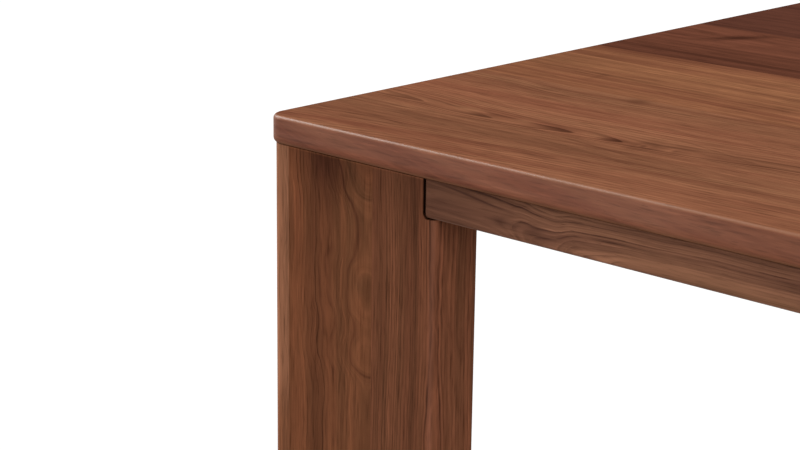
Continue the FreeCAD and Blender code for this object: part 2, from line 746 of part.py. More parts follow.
# Check every object, then write each sub-part to its own file
doc.recompute()
for item in doc.Objects:
    if "Invalid" in item.State or "Error" in item.State:
        raise RuntimeError(f"{item.Name} failed: {item.State}")
for item in subparts:
    if item.Shape.isNull() or not item.Shape.isValid():
        raise RuntimeError(f"{item.Label} has no valid shape")

os.makedirs("parts", exist_ok=True)
for item in subparts:
    item.Shape.exportStep(f"parts/{item.Label}.step")
    print(f"{item.Label}: {len(item.Shape.Solids)} solids, {item.Shape.Volume / 1000:.2f} cm3")
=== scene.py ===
import math

import bmesh
import bpy
from mathutils import Matrix, Vector


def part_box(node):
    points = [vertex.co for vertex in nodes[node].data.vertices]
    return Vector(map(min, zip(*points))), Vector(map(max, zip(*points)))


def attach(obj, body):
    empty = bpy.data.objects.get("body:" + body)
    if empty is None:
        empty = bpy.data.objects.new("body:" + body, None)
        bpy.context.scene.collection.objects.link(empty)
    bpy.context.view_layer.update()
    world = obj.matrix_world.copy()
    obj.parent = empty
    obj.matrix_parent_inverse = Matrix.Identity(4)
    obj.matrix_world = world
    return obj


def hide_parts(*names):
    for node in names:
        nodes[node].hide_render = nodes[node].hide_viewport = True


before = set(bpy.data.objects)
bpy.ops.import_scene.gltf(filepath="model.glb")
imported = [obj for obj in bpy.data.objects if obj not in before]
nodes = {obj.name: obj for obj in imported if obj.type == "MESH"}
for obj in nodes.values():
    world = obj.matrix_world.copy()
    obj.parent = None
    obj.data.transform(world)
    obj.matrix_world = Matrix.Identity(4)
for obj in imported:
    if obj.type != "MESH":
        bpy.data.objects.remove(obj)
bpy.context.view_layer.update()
scene = bpy.context.scene
print("table loaded,", len(nodes), "pieces")

# where the solids' main faces are, in metres from the middle of the floor
endX, sideY, topZ = 0.9, 0.5, 0.75      # the top's ends, long sides and upper face
legFaceY, legTopZ = 0.4975, 0.725       # the legs' outer faces and upper ends
railFaceX, railFaceY = 0.8965, 0.4965   # the rails' outer faces


# small helpers for the shader trees

def tint(red, green, blue):
    # screen colour 0-255 to the linear value a shader socket takes
    def linear(value):
        value /= 255
        return value / 12.92 if value <= 0.04045 else ((value + 0.055) / 1.055) ** 2.4
    return (linear(red), linear(green), linear(blue), 1.0)


def pick(source, words):
    return {word: source[word] for word in words.split()}


def feed(tree, socket, value):
    if isinstance(value, bpy.types.NodeSocket):
        tree.links.new(value, socket)
    else:
        socket.default_value = value


def maths(tree, operation, *values, clamp=False):
    node = tree.nodes.new("ShaderNodeMath")
    node.operation = operation
    node.use_clamp = clamp
    for socket, value in zip(node.inputs, values):
        feed(tree, socket, value)
    return node.outputs[0]


def times(tree, first, second):
    return maths(tree, "MULTIPLY", first, second)


def plus(tree, first, second):
    return maths(tree, "ADD", first, second)


def minus(tree, first, second):
    return maths(tree, "SUBTRACT", first, second)


def timesPlus(tree, first, second, third):
    return maths(tree, "MULTIPLY_ADD", first, second, third)


def bellCurve(tree, square):
    # 1 in the middle, falling away with the square of the distance
    return maths(tree, "EXPONENT", times(tree, square, -1.0))


def vectorMaths(tree, operation, first, second, into=1, out=0):
    node = tree.nodes.new("ShaderNodeVectorMath")
    node.operation = operation
    feed(tree, node.inputs[0], first)
    feed(tree, node.inputs[into], second)
    return node.outputs[out]


def dotProduct(tree, first, second):
    return vectorMaths(tree, "DOT_PRODUCT", first, second, out=1)


def remap(tree, value, fromLow, fromHigh, toLow=0.0, toHigh=1.0, smooth=False):
    node = tree.nodes.new("ShaderNodeMapRange")
    node.interpolation_type = "SMOOTHSTEP" if smooth else "LINEAR"
    for socket, entry in zip(node.inputs, (value, fromLow, fromHigh, toLow, toHigh)):
        feed(tree, socket, entry)
    return node.outputs[0]


def swing(tree, noise):
    # a noise value as a swing about zero
    return remap(tree, noise, 0.3, 0.7, -1.0, 1.0)


def mixColour(tree, factor, first, second, blend="MIX"):
    node = tree.nodes.new("ShaderNodeMix")
    node.data_type = "RGBA"
    node.blend_type = blend
    feed(tree, node.inputs[0], factor)
    feed(tree, node.inputs[6], first)  # its colour sockets
    feed(tree, node.inputs[7], second)
    return node.outputs[2]


def brighten(tree, colour, amount):
    return vectorMaths(tree, "SCALE", colour, amount, into="Scale")


def newNoise(tree, dimensions, seed, detail, roughness=0.5):
    noise = tree.nodes.new("ShaderNodeTexNoise")
    noise.noise_dimensions = dimensions
    feed(tree, noise.inputs["W"], seed)
    for label, value in (("Scale", 1.0), ("Detail", detail), ("Roughness", roughness)):
        noise.inputs[label].default_value = value
    return noise


def stretchedNoise(tree, place, scales, seed, detail=2.0, roughness=0.5):
    # noise on a board: place is along, across, depth; scales are repeats per metre
    spot = tree.nodes.new("ShaderNodeCombineXYZ")
    for socket, value, scale in zip(spot.inputs, place, scales):
        tree.links.new(times(tree, value, scale), socket)
    noise = newNoise(tree, "4D", seed, detail, roughness)
    tree.links.new(spot.outputs[0], noise.inputs["Vector"])
    return noise.outputs[0]


def ringNoise(tree, rings, repeats, seed, detail):
    # noise that changes from ring to ring only
    return newNoise(tree, "1D", timesPlus(tree, rings, repeats, seed), detail).outputs[0]


def newGroup(name, takes, gives):
    # takes and gives hold the socket names of each kind, as words in one string
    tree = bpy.data.node_groups.new(name, "ShaderNodeTree")
    kinds = {"values": "NodeSocketFloat", "vectors": "NodeSocketVector", "colours": "NodeSocketColor"}
    for side, sockets in (("INPUT", takes), ("OUTPUT", gives)):
        for kind, labels in sockets.items():
            for label in labels.split():
                tree.interface.new_socket(label, in_out=side, socket_type=kinds[kind])
    return tree, tree.nodes.new("NodeGroupInput").outputs, tree.nodes.new("NodeGroupOutput").inputs


def placeGroup(tree, group, **values):
    node = tree.nodes.new("ShaderNodeGroup")
    node.node_tree = group
    for label, value in values.items():
        feed(tree, node.inputs[label], value)
    return node.outputs


def newMaterial(name):
    material = bpy.data.materials.new(name)
    material.use_nodes = True
    return material, material.node_tree


def wireFinish(tree, finish, strength, lift):
    # a finish group's colour, roughness and height into the material's shader
    shader = tree.nodes["Principled BSDF"]
    bump = tree.nodes.new("ShaderNodeBump")
    bump.inputs["Strength"].default_value = strength
    bump.inputs["Distance"].default_value = lift
    tree.links.new(finish["height"], bump.inputs["Height"])
    tree.links.new(finish["colour"], shader.inputs["Base Color"])
    tree.links.new(finish["roughness"], shader.inputs["Roughness"])
    tree.links.new(bump.outputs[0], shader.inputs["Normal"])
    return shader


def seenDirectly(tree):
    # 1 for rays from the camera, or by way of a reflection or a clear material
    path = tree.nodes.new("ShaderNodeLightPath")
    seen = maths(tree, "MAXIMUM", path.outputs["Is Camera Ray"], path.outputs["Is Glossy Ray"])
    return maths(tree, "MAXIMUM", seen, path.outputs["Is Transmission Ray"])


# where a point lies in its board: along the grain, across the face, and above the face

facing = {"endGrain": (0.6, 0.97), "face": (0.2, 0.8), "arris": (0.995, 0.78)}  # none and all, by normal


def makeBoardPlace():
    tree, given, result = newGroup(
        "boardPlace",
        {"vectors": "corner grain width"},
        {"values": "along across depth face endGrain arris"})
    coords = tree.nodes.new("ShaderNodeTexCoord")
    normal = coords.outputs["Normal"]
    spot = vectorMaths(tree, "SUBTRACT", coords.outputs["Object"], given["corner"])
    outward = vectorMaths(tree, "CROSS_PRODUCT", given["grain"], given["width"])
    for label, axis in (("along", given["grain"]), ("across", given["width"]), ("depth", outward)):
        tree.links.new(dotProduct(tree, spot, axis), result[label])
    for label, axis in (("endGrain", given["grain"]), ("face", outward)):
        square = maths(tree, "ABSOLUTE", dotProduct(tree, normal, axis))
        tree.links.new(remap(tree, square, *facing[label], smooth=True), result[label])
    # a rounded edge is where the surface faces none of the three axes
    parts = tree.nodes.new("ShaderNodeSeparateXYZ")
    tree.links.new(vectorMaths(tree, "ABSOLUTE", normal, (0, 0, 0)), parts.inputs[0])
    largest = maths(tree, "MAXIMUM", parts.outputs[0], parts.outputs[1])
    largest = maths(tree, "MAXIMUM", largest, parts.outputs[2])
    tree.links.new(remap(tree, largest, *facing["arris"], smooth=True), result["arris"])
    return tree


# one knot, swirl or patch: how far it lifts the rings, and how much it darkens, or pales where below zero

def makeKnot():
    tree, given, result = newGroup(
        "walnutKnot",
        {"values": "along across atAlong atAcross length breadth slant slope lift shade"},
        {"values": "lift shade"})
    u = minus(tree, given["along"], given["atAlong"])
    v = minus(tree, given["across"], given["atAcross"])
    across = minus(tree, v, times(tree, u, given["slope"]))
    along = minus(tree, u, times(tree, v, given["slant"]))
    along = maths(tree, "DIVIDE", along, given["length"])
    across = maths(tree, "DIVIDE", across, given["breadth"])
    bell = bellCurve(tree, plus(tree, times(tree, along, along), times(tree, across, across)))
    for label in ("lift", "shade"):
        tree.links.new(times(tree, bell, given[label]), result[label])
    return tree


def patch(atAlong, atAcross, length, breadth, shade=0.0, lift=0.0, slope=0.0, slant=0.0):
    # the values of one walnutKnot, in metres on its board
    return {"atAlong": atAlong, "atAcross": atAcross, "length": length, "breadth": breadth,
            "shade": shade, "lift": lift, "slope": slope, "slant": slant}


# growth rings round a pith that wanders along the board

ringLook = {  # three numbers are repeats per metre along, across and in depth
    "slowAcross": 16.0,
    "quick": (38.0, 150.0, 150.0),
    "fade": (5.0, 34.0, 34.0),
    "fadeRange": (0.32, 0.62, 0.2, 1.0),
    "broken": (42.0, 320.0, 320.0),
    "brokenRange": (0.36, 0.62, 0.4, 1.0),
    "calmReach": 0.04,         # from the pith to where the lines wander freely
    "calmWander": 0.1,
    "years": 0.17,             # repeats per ring
    "zone": 0.36,
    "grain": 2.7,
    "lateWood": (0.3, 0.95),   # parts of a ring
    "lateEnd": (0.93, 1.0),
    "earlyWood": 0.5,
    "core": 0.3,               # part of the clear width that the dark fills
    "faintest": 0.4,           # strength of the palest year's line
    "heartBorder": 0.96,
    "boldBroken": 0.7,
}


def makeRings():
    tree, given, result = newGroup(
        "walnutRings",
        {"values": "along across depth pithAcross pithDepth farPith farDepth farReach lift ringWidth drift "
                   "waver waveAlong kink sharp fill clear heart bold boldWidth boldDepth seed"},
        {"values": "line tone zone grain early"})
    look = ringLook
    seed = given["seed"]
    place = (given["along"], given["across"], given["depth"])
    # the grain in front of the pith may run at its own slope
    offset = minus(tree, given["across"], given["pithAcross"])
    away = maths(tree, "ABSOLUTE", offset)
    ahead = remap(tree, maths(tree, "DIVIDE", offset, given["farReach"]), 0.0, -1.0, smooth=True)
    shift = times(tree, minus(tree, given["farPith"], given["pithAcross"]), ahead)
    sink = times(tree, minus(tree, given["farDepth"], given["pithDepth"]), ahead)
    v = minus(tree, offset, shift)
    w = minus(tree, given["depth"], plus(tree, given["pithDepth"], sink))
    radius = maths(tree, "SQRT", plus(tree, times(tree, v, v), times(tree, w, w)))
    # the lines wander more, the further they are from the pith
    slow = stretchedNoise(tree, place, (given["waveAlong"], look["slowAcross"], look["slowAcross"]), seed)
    quick = stretchedNoise(tree, place, look["quick"], seed, detail=1.0)
    free = remap(tree, away, 0.0, look["calmReach"], look["calmWander"], 1.0, smooth=True)
    slow = times(tree, minus(tree, slow, 0.5), times(tree, given["waver"], free))
    quick = times(tree, minus(tree, quick, 0.5), times(tree, given["kink"], free))
    radius = plus(tree, plus(tree, radius, given["lift"]), plus(tree, slow, quick))
    rings = maths(tree, "DIVIDE", radius, given["ringWidth"])
    # some years are wide and some narrow
    years = ringNoise(tree, rings, look["years"], seed, detail=1.0)
    rings = timesPlus(tree, minus(tree, years, 0.5), times(tree, given["drift"], free), rings)
    # zones of several years, and fine lines within a year; all of them come and go along the board
    fade = remap(tree, stretchedNoise(tree, place, look["fade"], seed), *look["fadeRange"])
    broken = remap(tree, stretchedNoise(tree, place, look["broken"], seed), *look["brokenRange"])
    for label, detail, hold in (("zone", 2.0, fade), ("grain", 3.0, broken)):
        level = swing(tree, ringNoise(tree, rings, look[label], seed, detail))
        tree.links.new(times(tree, level, hold), result[label])
    phase = maths(tree, "FRACT", rings)
    chance = tree.nodes.new("ShaderNodeTexWhiteNoise")
    chance.noise_dimensions = "1D"
    tree.links.new(plus(tree, maths(tree, "FLOOR", rings), seed), chance.inputs["W"])
    tone = chance.outputs["Value"]
    # late wood darkens slowly and ends in a sharper line; beside the pith the dark fills the ring's tip
    beside = remap(tree, away, given["clear"], 0.0, smooth=True)
    core = remap(tree, away, times(tree, given["clear"], look["core"]), 0.0, smooth=True)
    power = minus(tree, given["sharp"], times(tree, core, given["fill"]))
    rise = maths(tree, "POWER", remap(tree, phase, *look["lateWood"], smooth=True), power)
    line = times(tree, rise, remap(tree, phase, *look["lateEnd"], 1.0, 0.0, smooth=True))
    held = timesPlus(tree, tone, 1.0 - look["faintest"], look["faintest"])
    held = times(tree, times(tree, fade, broken), held)
    line = times(tree, line, maths(tree, "MAXIMUM", held, beside))
    inner = times(tree, given["heart"], look["heartBorder"])
    line = times(tree, line, remap(tree, radius, inner, given["heart"], smooth=True))
    # one bold line at its own radius
    near = maths(tree, "DIVIDE", minus(tree, radius, given["bold"]), given["boldWidth"])
    strength = remap(tree, broken, look["brokenRange"][2], 1.0, look["boldBroken"], 1.0)
    strength = times(tree, given["boldDepth"], strength)
    near = times(tree, bellCurve(tree, times(tree, near, near)), strength)
    tree.links.new(maths(tree, "MAXIMUM", line, near), result["line"])
    tree.links.new(tone, result["tone"])
    tree.links.new(remap(tree, phase, 0.0, look["earlyWood"], 1.0, 0.0), result["early"])
    return tree


# fibres, flecks and pores, and the slow changes of colour in a board, which swing about zero

fibreLook = {  # three numbers are repeats per metre along, across and in depth
    "swings": {  # with noise detail and roughness
        "streak": ((10.0, 330.0, 330.0), 4.0, 0.62),
        "swath": ((4.5, 75.0, 60.0), 3.0, 0.6),
        "band": ((0.9, 17.0, 12.0), 3.0, 0.5),
        "blotch": ((15.0, 24.0, 20.0), 2.0, 0.5),
    },
    "seedStep": 3.7,
    "flecks": (34.0, 480.0, 480.0),
    "fleckSeed": 17.3,
    "darkFlecks": (0.53, 0.72),
    "paleFlecks": (0.42, 0.26),
    "pores": (85.0, 1700.0, 1700.0),
    "poreLimit": 0.68,
    "earlyPores": -0.05,       # early wood has more of them
    "poreBorder": 0.07,
}


def makeFibre():
    tree, given, result = newGroup(
        "walnutFibre",
        {"values": "along across depth early seed"},
        {"values": "streak swath band blotch fleck gleam pores"})
    look = fibreLook
    place = (given["along"], given["across"], given["depth"])
    for number, (label, (scales, detail, roughness)) in enumerate(look["swings"].items()):
        seed = plus(tree, given["seed"], look["seedStep"] * number)
        noise = stretchedNoise(tree, place, scales, seed, detail, roughness)
        tree.links.new(swing(tree, noise), result[label])
    fleck = stretchedNoise(tree, place, look["flecks"], plus(tree, given["seed"], look["fleckSeed"]))
    tree.links.new(remap(tree, fleck, *look["darkFlecks"]), result["fleck"])
    tree.links.new(remap(tree, fleck, *look["paleFlecks"]), result["gleam"])
    pores = stretchedNoise(tree, place, look["pores"], given["seed"], detail=1.0)
    limit = timesPlus(tree, given["early"], look["earlyPores"], look["poreLimit"])
    tree.links.new(remap(tree, pores, limit, plus(tree, limit, look["poreBorder"])), result["pores"])
    return tree


# all of it laid together as an oiled walnut surface

finishLook = {
    "bandHue": 0.5,
    "zoneHue": 0.35,
    "swathHue": 0.3,
    "hueReach": 0.75,
    "darkYear": 0.14,
    "patchLine": 0.6,
    "gleam": 0.8,
    "pore": -0.3,
    "endGrain": -0.3,
    "rough": 0.52,
    "streakRough": 0.05,
    "poreRough": 0.15,
    "rub": 0.75,
    "swathRub": 0.25,
    "uprightRub": -0.9,
    "streakHeight": 0.12,
    "lineHeight": -0.35,
}


def makeFinish():
    tree, given, result = newGroup(
        "walnutFinish",
        {"colours": "pale middle dark edgeTint sap",
         "values": "line tone zone grain streak swath band blotch fleck gleam pores shade soot sapwood "
                   "face endGrain arris rub lineDepth edgeLine zoneDepth grainDepth streakDepth swathDepth "
                   "blotchDepth fleckDepth arrisPale arrisCoat edgeCoat edgeGrain"},
        {"colours": "colour", "values": "roughness coat height"})
    look = finishLook
    pale, dark, face = given["pale"], given["dark"], given["face"]
    onEdge = minus(tree, 1.0, face)
    # the hue follows slow bands, zones of years and swaths together
    hue = timesPlus(tree, given["zone"], look["zoneHue"], times(tree, given["band"], look["bandHue"]))
    hue = timesPlus(tree, given["swath"], look["swathHue"], hue)
    body = mixColour(tree, remap(tree, hue, -look["hueReach"], look["hueReach"]), given["middle"], pale)
    body = mixColour(tree, times(tree, minus(tree, 1.0, given["tone"]), look["darkYear"]), body, dark)
    # lines show more in the dark patches, and less on the board's edges
    depth = timesPlus(tree, given["shade"], look["patchLine"], given["lineDepth"])
    line = times(tree, given["line"], depth)
    line = times(tree, line, remap(tree, face, 0.0, 1.0, given["edgeLine"], 1.0))
    body = mixColour(tree, line, body, dark)
    # the patches darken the wood or pale it; some are painted shade under the top, and painted light at the
    # legs' lip and the rail's lower edge
    body = mixColour(tree, given["shade"], body, dark)
    body = mixColour(tree, maths(tree, "MULTIPLY", given["shade"], -1.0, clamp=True), body, pale)
    level = 0.0
    for label in ("zone", "grain", "streak", "swath", "blotch"):
        level = timesPlus(tree, given[label], given[label + "Depth"], level)
    level = timesPlus(tree, level, remap(tree, face, 0.0, 1.0, given["edgeGrain"], 1.0), 1.0)
    fleck = minus(tree, times(tree, given["gleam"], look["gleam"]), given["fleck"])
    for mask, depth in ((fleck, given["fleckDepth"]), (given["pores"], look["pore"]),
                        (given["endGrain"], look["endGrain"])):
        level = times(tree, level, timesPlus(tree, mask, depth, 1.0))
    # painted shadow on the walls of the legs' pockets
    level = times(tree, level, minus(tree, 1.0, given["soot"]))
    body = brighten(tree, body, level)
    # the top's side faces painted darker and pinker than its upper face, a painted shade
    body = mixColour(tree, onEdge, body, given["edgeTint"], "MULTIPLY")
    # rounded edges paled, partly wear and partly a painted highlight
    body = mixColour(tree, times(tree, given["arris"], given["arrisPale"]), body, pale)
    # the pale strip by the leg's rounded corner, partly sapwood and partly a painted highlight
    body = mixColour(tree, given["sapwood"], body, brighten(tree, given["sap"], level))
    tree.links.new(body, result["colour"])
    rough = timesPlus(tree, given["streak"], look["streakRough"], look["rough"])
    rough = plus(tree, rough, times(tree, given["pores"], look["poreRough"]))
    tree.links.new(rough, result["roughness"])
    # rounded edges are rubbed to a soft shine, the upright corners less
    upright = times(tree, given["arris"], onEdge)
    rubbed = times(tree, timesPlus(tree, given["swath"], look["swathRub"], look["rub"]), given["rub"])
    rubbed = times(tree, rubbed, timesPlus(tree, upright, look["uprightRub"], 1.0))
    coat = times(tree, onEdge, given["edgeCoat"])
    coat = timesPlus(tree, given["arris"], given["arrisCoat"], coat)
    tree.links.new(times(tree, coat, rubbed), result["coat"])
    height = times(tree, given["line"], look["lineHeight"])
    height = timesPlus(tree, given["streak"], look["streakHeight"], height)
    tree.links.new(minus(tree, height, given["pores"]), result["height"])
    return tree


boardPlace = makeBoardPlace()
walnutKnot = makeKnot()
walnutRings = makeRings()
walnutFibre = makeFibre()
walnutFinish = makeFinish()
print("walnut node groups made")


def alongCurve(tree, along, points):
    # a value that follows the given points (metres along the board, value)
    if len(points) == 1:
        return points[0][1]
    start, end = points[0][0], points[-1][0]
    margin = 0.01
    low = min(value for spot, value in points) - margin
    high = max(value for spot, value in points) + margin
    node = tree.nodes.new("ShaderNodeFloatCurve")
    curve = node.mapping.curves[0]
    shares = [((spot - start) / (end - start), (value - low) / (high - low)) for spot, value in points]
    for share in shares[1:-1]:
        curve.points.new(*share)
    curve.points[0].location = shares[0]
    curve.points[len(points) - 1].location = shares[-1]
    node.mapping.update()
    tree.links.new(remap(tree, along, start, end), node.inputs["Value"])
    return timesPlus(tree, node.outputs[0], high - low, low)


def addAll(tree, values):
    total = 0.0
    for value in values:
        total = plus(tree, total, value)
    return total


pocketShade = {"skin": (0.0003, 0.0012), "back": 0.001, "outer": 0.0006, "inner": 0.0002, "strength": 0.93}


def paintPocketShadow(tree, place, pocket):
    # the open pocket's walls are painted dark, a painted shadow in the recess
    reach, drop, inset = pocket
    outer, inner = pocketShade["outer"], pocketShade["inner"]
    below = maths(tree, "ABSOLUTE", place["depth"])
    soot = remap(tree, below, *pocketShade["skin"])
    soot = times(tree, soot, remap(tree, below, inset + pocketShade["back"], inset))
    soot = times(tree, soot, remap(tree, place["across"], reach - outer, reach - inner))
    above = remap(tree, place["along"], drop + inner, drop - outer, 0.0, pocketShade["strength"])
    return times(tree, soot, above)


sapAndHighlightLook = {"ragged": (9.0, 40.0, 40.0), "seedStep": 1.9, "fade": 0.03, "rest": 0.25}


def sapAndHighlightStrip(tree, place, seed, strip):
    # a pale strip by the leg's rounded outer corner, partly sapwood and partly a painted highlight of the
    # lit corner: from the board's outer side to its reach with a soft ragged border, and faint past its end
    reach, border, strength, end = strip
    ragged = stretchedNoise(tree, place.values(), sapAndHighlightLook["ragged"], seed + sapAndHighlightLook["seedStep"])
    spread = timesPlus(tree, minus(tree, ragged, 0.5), 2 * border, place["across"])
    sapwood = remap(tree, spread, reach + border, reach - border, 0.0, strength, smooth=True)
    fade, rest = sapAndHighlightLook["fade"], sapAndHighlightLook["rest"]
    return times(tree, sapwood, remap(tree, place["along"], end + fade, end - fade, rest, 1.0, smooth=True))


walnutPlain = {  # values a board has unless its own dictionary says otherwise
    "pale": tint(160, 104, 76),
    "middle": tint(138, 86, 62),
    "dark": tint(78, 45, 32),
    "ringWidth": 0.0042,
    "drift": 2.0,
    "waver": 0.012,
    "waveAlong": 4.5,
    "kink": 0.0025,
    "sharp": 2.0,
    "fill": 0.0,
    "clear": 0.0001,
    "pithAcross": [(0.0, 0.1)],
    "pithDepth": [(0.0, -0.04)],
    "farPith": None,
    "farDepth": None,
    "farReach": 0.08,
    "heart": 0.001,
    "bold": -1.0,
    "boldWidth": 0.001,
    "boldDepth": 0.8,
    "knots": [],
    "pocket": None,
    "lineDepth": 0.6,
    "edgeLine": 1.0,
    "zoneDepth": 0.13,
    "grainDepth": 0.08,
    "fleckDepth": 0.22,
    "streakDepth": 0.11,
    "swathDepth": 0.13,
    "blotchDepth": 0.06,
    "arrisPale": 0.3,
    "arrisCoat": 0.7,
    "edgeCoat": 0.0,
    "rubTo": -1.0,
    "rubBorder": 0.008,
    "edgeGrain": 1.0,
    "edgeTint": (1.0, 1.0, 1.0, 1.0),
    "coatRoughness": 0.3,
    "specular": 0.0,
    "sap": tint(176, 122, 88),
    "sapwood": None,
    "bump": 0.25,
    "grainLift": 0.0004,
    "fibreSeed": 7.3,  # added to the board's seed
}


def walnutBoard(name, board):
    board = {**walnutPlain, **board}
    material, tree = newMaterial(name)
    seed = board["seed"]
    spot = placeGroup(tree, boardPlace, **pick(board, "corner grain width"))
    place = pick(spot, "along across depth")
    along, across = place["along"], place["across"]
    knots = [placeGroup(tree, walnutKnot, along=along, across=across, **knot) for knot in board["knots"]]
    pith = {label: alongCurve(tree, along, board[label]) for label in ("pithAcross", "pithDepth")}
    for far, close in (("farPith", "pithAcross"), ("farDepth", "pithDepth")):
        pith[far] = alongCurve(tree, along, board[far]) if board[far] else pith[close]
    rings = placeGroup(
        tree, walnutRings, **place, **pith, lift=addAll(tree, [knot["lift"] for knot in knots]), seed=seed,
        **pick(board, "farReach ringWidth drift waver waveAlong kink sharp fill clear heart "
                      "bold boldWidth boldDepth"))
    fibre = placeGroup(tree, walnutFibre, **place, early=rings["early"], seed=seed + board["fibreSeed"])
    soot = paintPocketShadow(tree, place, board["pocket"]) if board["pocket"] else 0.0
    sapwood = sapAndHighlightStrip(tree, place, seed, board["sapwood"]) if board["sapwood"] else 0.0
    rub = remap(tree, place["depth"], board["rubTo"], board["rubTo"] + board["rubBorder"])
    finish = placeGroup(
        tree, walnutFinish, soot=soot, sapwood=sapwood, rub=rub,
        shade=addAll(tree, [knot["shade"] for knot in knots]),
        **pick(rings, "line tone zone grain"),
        **pick(fibre, "streak swath band blotch fleck gleam pores"),
        **pick(spot, "face endGrain arris"),
        **pick(board, "pale middle dark sap edgeTint lineDepth edgeLine zoneDepth grainDepth streakDepth "
                      "swathDepth blotchDepth fleckDepth arrisPale arrisCoat edgeCoat edgeGrain"))
    shader = wireFinish(tree, finish, board["bump"], board["grainLift"])
    tree.links.new(finish["coat"], shader.inputs["Coat Weight"])
    shader.inputs["Coat Roughness"].default_value = board["coatRoughness"]
    shader.inputs["Specular IOR Level"].default_value = board["specular"]
    return material


def dress(name, material):
    for held in nodes[name].material_slots:
        held.material = material


# the top: along from the left end, across from the front edge, depth above the upper face

topStaves = {
    "top_stave_front_outer": {  # flat-sawn, arrow figure with two small eyes
        "seed": 3.1,
        "pale": tint(151, 103, 74),
        "middle": tint(132, 79, 58),
        "ringWidth": 0.0044,
        "kink": 0.0015,
        "drift": 2.5,
        "sharp": 1.1,
        "fill": 0.45,
        "clear": 0.036,
        "lineDepth": 0.7,
        "zoneDepth": 0.06,
        "swathDepth": 0.08,
        "pithAcross": [
            (0.0, 0.137), (0.06, 0.134), (0.16, 0.125), (0.22, 0.130), (0.3, 0.135), (0.37, 0.144),
            (0.43, 0.154), (0.7, 0.17), (1.0, 0.15), (1.4, 0.16), (1.8, 0.14)],
        "pithDepth": [
            (0.0, -0.0143), (0.065, -0.0176), (0.152, -0.0220), (0.232, -0.0261), (0.262, -0.0279),
            (0.290, -0.0290), (0.34, -0.0293), (0.385, -0.0312), (0.43, -0.0325), (0.52, -0.0326),
            (0.75, -0.024), (1.0, -0.035), (1.3, -0.021), (1.55, -0.033), (1.8, -0.023)],
        "farPith": [(0.0, 0.100), (0.5, 0.170), (0.9, 0.19), (1.3, 0.16), (1.8, 0.15)],
        "farDepth": [(0.0, -0.105)],
        "knots": [
            # the eyes, each a dark ring round paler wood
            patch(0.300, 0.134, 0.0085, 0.0125, shade=1.7),
            patch(0.300, 0.134, 0.0064, 0.0095, shade=-1.8),
            patch(0.300, 0.134, 0.0028, 0.0045, shade=0.75),
            patch(0.325, 0.138, 0.0105, 0.015, shade=1.1),
            patch(0.325, 0.138, 0.0080, 0.0115, shade=-1.15),
            patch(0.328, 0.138, 0.0030, 0.0045, shade=0.45),
            patch(0.312, 0.140, 0.050, 0.026, lift=0.003),
            # the arrow's dark heads, the pale wood between them, and the thin lines that sweep round it
            patch(0.276, 0.135, 0.013, 0.0075, shade=0.45),
            patch(0.212, 0.136, 0.018, 0.0065, shade=0.45),
            patch(0.142, 0.136, 0.013, 0.005, shade=0.4),
            patch(0.250, 0.136, 0.011, 0.008, shade=-0.5),
            patch(0.175, 0.136, 0.011, 0.007, shade=-0.45),
            patch(0.112, 0.137, 0.016, 0.009, shade=-0.6),
            patch(0.165, 0.149, 0.070, 0.0014, slope=-0.11, shade=0.4),
            patch(0.130, 0.110, 0.080, 0.0014, slope=0.09, shade=0.35),
            patch(0.270, 0.106, 0.060, 0.0014, slope=-0.17, shade=0.35),
            patch(0.345, 0.163, 0.050, 0.0014, slope=-0.28, shade=0.35),
            patch(0.385, 0.142, 0.050, 0.018, shade=0.24),
            patch(0.196, 0.272, 0.012, 0.010, shade=0.42),
            patch(0.15, 0.083, 0.33, 0.026, shade=0.34),
            patch(0.05, 0.045, 0.11, 0.018, shade=0.16),
            patch(0.15, 0.258, 0.35, 0.028, shade=0.25),
        ],
    },
    "top_stave_front_inner": {  # rift-sawn, pale towards the middle of the table
        "seed": 11.7,
        "pale": tint(152, 103, 71),
        "middle": tint(126, 76, 55),
        "pithAcross": [(0.0, 0.80), (1.8, 0.735)],
        "pithDepth": [(0.0, -0.12)],
        "ringWidth": 0.0065,
        "waver": 0.009,
        "lineDepth": 0.5,
        "zoneDepth": 0.09,
        "knots": [
            patch(0.15, 0.345, 0.2, 0.0022, slope=-0.033, shade=0.45),
            patch(0.103, 0.335, 0.004, 0.02, shade=0.2),
            patch(0.03, 0.395, 0.09, 0.06, shade=0.17),
            patch(0.09, 0.457, 0.16, 0.014, shade=0.24),
            patch(0.35, 0.430, 0.17, 0.030, shade=-0.4),
        ],
    },
    "top_stave_middle": {  # darker, with a slanted knot near the left end
        "seed": 23.9,
        "pale": tint(118, 71, 53),
        "middle": tint(103, 61, 46),
        "dark": tint(64, 36, 26),
        "pithAcross": [(0.0, 0.60), (0.5, 0.585), (1.2, 0.62), (1.8, 0.57)],
        "pithDepth": [(0.0, -0.05), (0.4, -0.06), (0.9, -0.045), (1.8, -0.06)],
        "lineDepth": 0.4,
        "knots": [
            patch(0.082, 0.607, 0.012, 0.030, slant=0.6, lift=0.012, shade=0.9),
            patch(0.9, 0.495, 4.0, 0.050, shade=0.4),
        ],
    },
    "top_stave_back_inner": {  # dark and even
        "seed": 37.2,
        "pale": tint(98, 59, 46),
        "middle": tint(88, 52, 41),
        "dark": tint(62, 36, 28),
        "pithAcross": [(0.0, 1.05), (1.8, 1.02)],
        "pithDepth": [(0.0, 0.1)],
        "ringWidth": 0.005,
        "lineDepth": 0.4,
        "streakDepth": 0.05,
        "swathDepth": 0.05,
    },
    "top_stave_back_outer": {  # dark too, flat-sawn
        "seed": 52.8,
        "pale": tint(106, 64, 49),
        "middle": tint(92, 55, 43),
        "dark": tint(62, 36, 28),
        "lineDepth": 0.45,
        "pithAcross": [(0.0, 0.93), (0.4, 0.92), (0.9, 0.945), (1.8, 0.925)],
        "pithDepth": [
            (0.0, -0.044), (0.3, -0.036), (0.7, -0.050), (1.1, -0.038), (1.5, -0.047), (1.8, -0.040)],
    },
}
